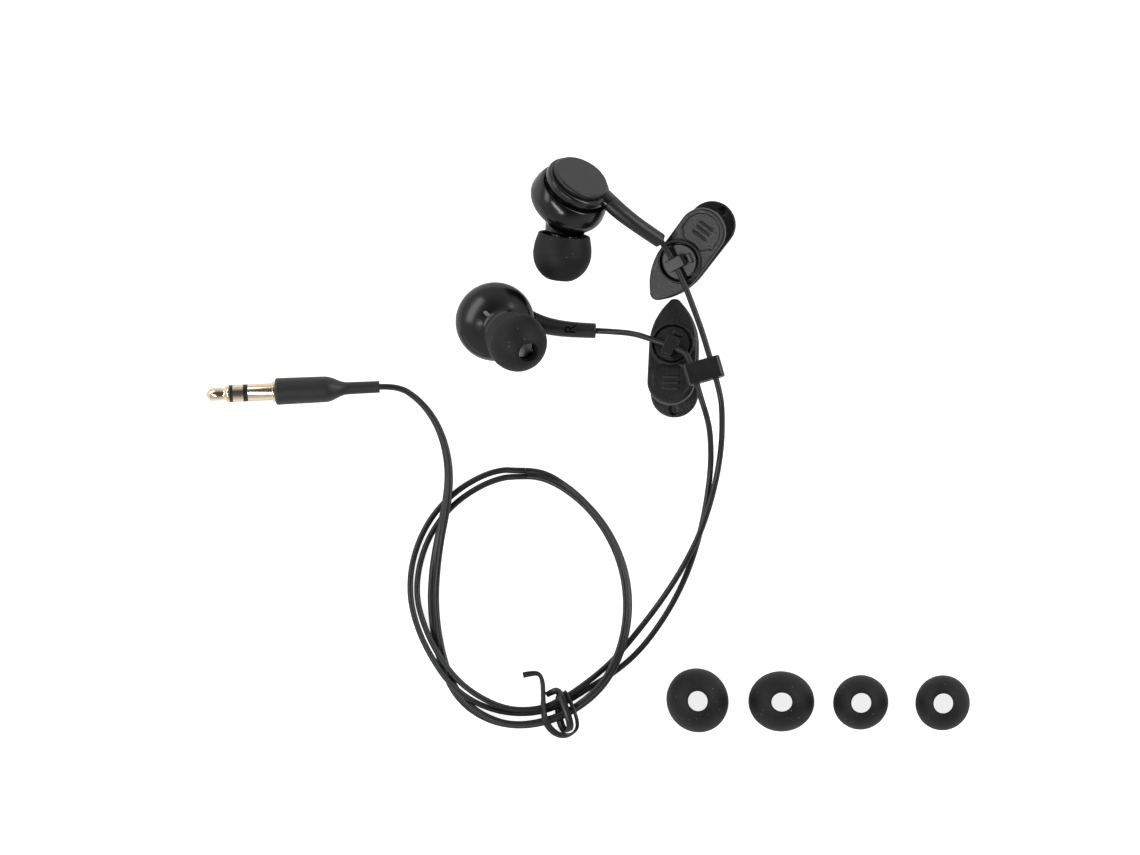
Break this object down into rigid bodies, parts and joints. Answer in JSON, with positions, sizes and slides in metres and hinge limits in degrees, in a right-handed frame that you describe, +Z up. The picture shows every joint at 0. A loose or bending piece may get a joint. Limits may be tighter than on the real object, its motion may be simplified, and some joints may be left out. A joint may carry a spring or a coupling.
{
  "type": "wired in-ear earphones",
  "caption": "Wired in-ear earphones laid out in a loop, with silicone tips, soft boots, stereo jack plug, cord slider, swivelling garment clips and spare ear tips.",
  "frame": {"origin": "middle of the laid-out set's footprint without the cord and what is on it, on the surface it lies on", "axes": "+Z up from the surface, +Y from the spare ear tips towards the earphones, +X away from the jack plug"},
  "size_m": [0.154, 0.1165, 0.0216],
  "materials": {
    "satin_cap": "satin dark grey injection-moulded ABS",
    "satin_housing": "satin black injection-moulded ABS",
    "soft_boot": "satin black soft PVC",
    "gloss_shell": "high-gloss black ABS",
    "steel_mesh": "fine woven stainless mesh",
    "silicone": "matte black silicone",
    "inner_plastic": "matte dark nylon",
    "driver_steel": "plain steel",
    "magnet": "nickel-plated magnet",
    "copper_wire": "enamelled copper winding",
    "clear_film": "thin polymer film",
    "circuit_board": "green solder mask",
    "clip_plastic": "fine-grained matte black ABS",
    "hook_plastic": "satin black ABS",
    "steel_pin": "plain steel",
    "gold_plate": "polished gold plating",
    "insulator": "matte black nylon",
    "plug_overmould": "matte black PVC overmould",
    "cord_jacket": "satin black PVC jacket",
    "tie_plastic": "semi-matte black PVC strip"
  },
  "bodies": {
    "laid_out_set": {"left_back_cap": "satin_cap", "left_rear_housing": "satin_housing", "left_strain_relief": "soft_boot", "left_front_shell": "gloss_shell", "left_nozzle_mesh": "steel_mesh", "left_vent_mesh": "steel_mesh", "left_cord_knot": "cord_jacket", "left_driver_frame": "inner_plastic", "left_driver_yoke": "driver_steel", "left_driver_magnet": "magnet", "left_driver_pole_plate": "driver_steel", "left_voice_coil": "copper_wire", "left_diaphragm": "clear_film", "left_terminal_board": "circuit_board", "left_cable_hook": "hook_plastic", "right_back_cap": "satin_cap", "right_rear_housing": "satin_housing", "right_strain_relief": "soft_boot", "right_front_shell": "gloss_shell", "right_nozzle_mesh": "steel_mesh", "right_vent_mesh": "steel_mesh", "right_cord_knot": "cord_jacket", "right_driver_frame": "inner_plastic", "right_driver_yoke": "driver_steel", "right_driver_magnet": "magnet", "right_driver_pole_plate": "driver_steel", "right_voice_coil": "copper_wire", "right_diaphragm": "clear_film", "right_terminal_board": "circuit_board", "right_cable_hook": "hook_plastic", "plug_sleeve": "gold_plate", "plug_ring": "gold_plate", "plug_tip": "gold_plate", "plug_insulators": "insulator", "plug_housing": "plug_overmould", "main_cord": "cord_jacket", "left_cord": "cord_jacket", "right_cord": "cord_jacket", "twist_tie": "tie_plastic", "spare_tip_large_1": "silicone", "spare_tip_large_2": "silicone", "spare_tip_small_1": "silicone", "spare_tip_small_2": "silicone"},
    "left_ear_tip": {"left_ear_tip": "silicone"},
    "right_ear_tip": {"right_ear_tip": "silicone"},
    "left_clip": {"left_clip_upper_jaw": "clip_plastic", "left_clip_hinge_pin": "steel_pin", "left_clip_spring": "steel_pin"},
    "left_clip_jaw": {"left_clip_lower_jaw": "clip_plastic"},
    "right_clip": {"right_clip_upper_jaw": "clip_plastic", "right_clip_hinge_pin": "steel_pin", "right_clip_spring": "steel_pin"},
    "right_clip_jaw": {"right_clip_lower_jaw": "clip_plastic"},
    "cord_slider": {"cord_slider": "clip_plastic"}
  },
  "joints": [
    {"name": "left_ear_tip_pull", "type": "slide", "parent": "laid_out_set", "child": "left_ear_tip", "axis": [-0.1111, -0.9814, -0.1564], "range_m": [0, 0.0045]},
    {"name": "right_ear_tip_pull", "type": "slide", "parent": "laid_out_set", "child": "right_ear_tip", "axis": [0.4195, -0.3912, 0.8192], "range_m": [0, 0.0045]},
    {"name": "left_clip_swivel", "type": "hinge", "parent": "laid_out_set", "child": "left_clip", "pos_m": [-0.00632, 0.03712, 0.00423], "axis": [-0.2421, -0.1178, 0.9631], "range_deg": [-45, 0]},
    {"name": "left_clip_squeeze", "type": "hinge", "parent": "left_clip", "child": "left_clip_jaw", "pos_m": [-0.00373, 0.04028, 0.00351], "axis": [0.7821, -0.6111, 0.1219], "range_deg": [0, 20], "stiffness_Nm_per_rad": 0.02, "springref_deg": -28.65},
    {"name": "right_clip_swivel", "type": "hinge", "parent": "laid_out_set", "child": "right_clip", "pos_m": [-0.00797, 0.01989, 0.0043], "axis": [-0.1308, 0.2442, 0.9609], "range_deg": [-45, 0]},
    {"name": "right_clip_squeeze", "type": "hinge", "parent": "right_clip", "child": "right_clip_jaw", "pos_m": [-0.00794, 0.01581, 0.00359], "axis": [-0.9901, 0.0173, -0.1392], "range_deg": [0, 20], "stiffness_Nm_per_rad": 0.02, "springref_deg": -28.65},
    {"name": "cord_slider_slide", "type": "slide", "parent": "laid_out_set", "child": "cord_slider", "axis": [0.2727, -0.9495, 0.1551], "range_m": [0, 0.0018]}
  ]
}
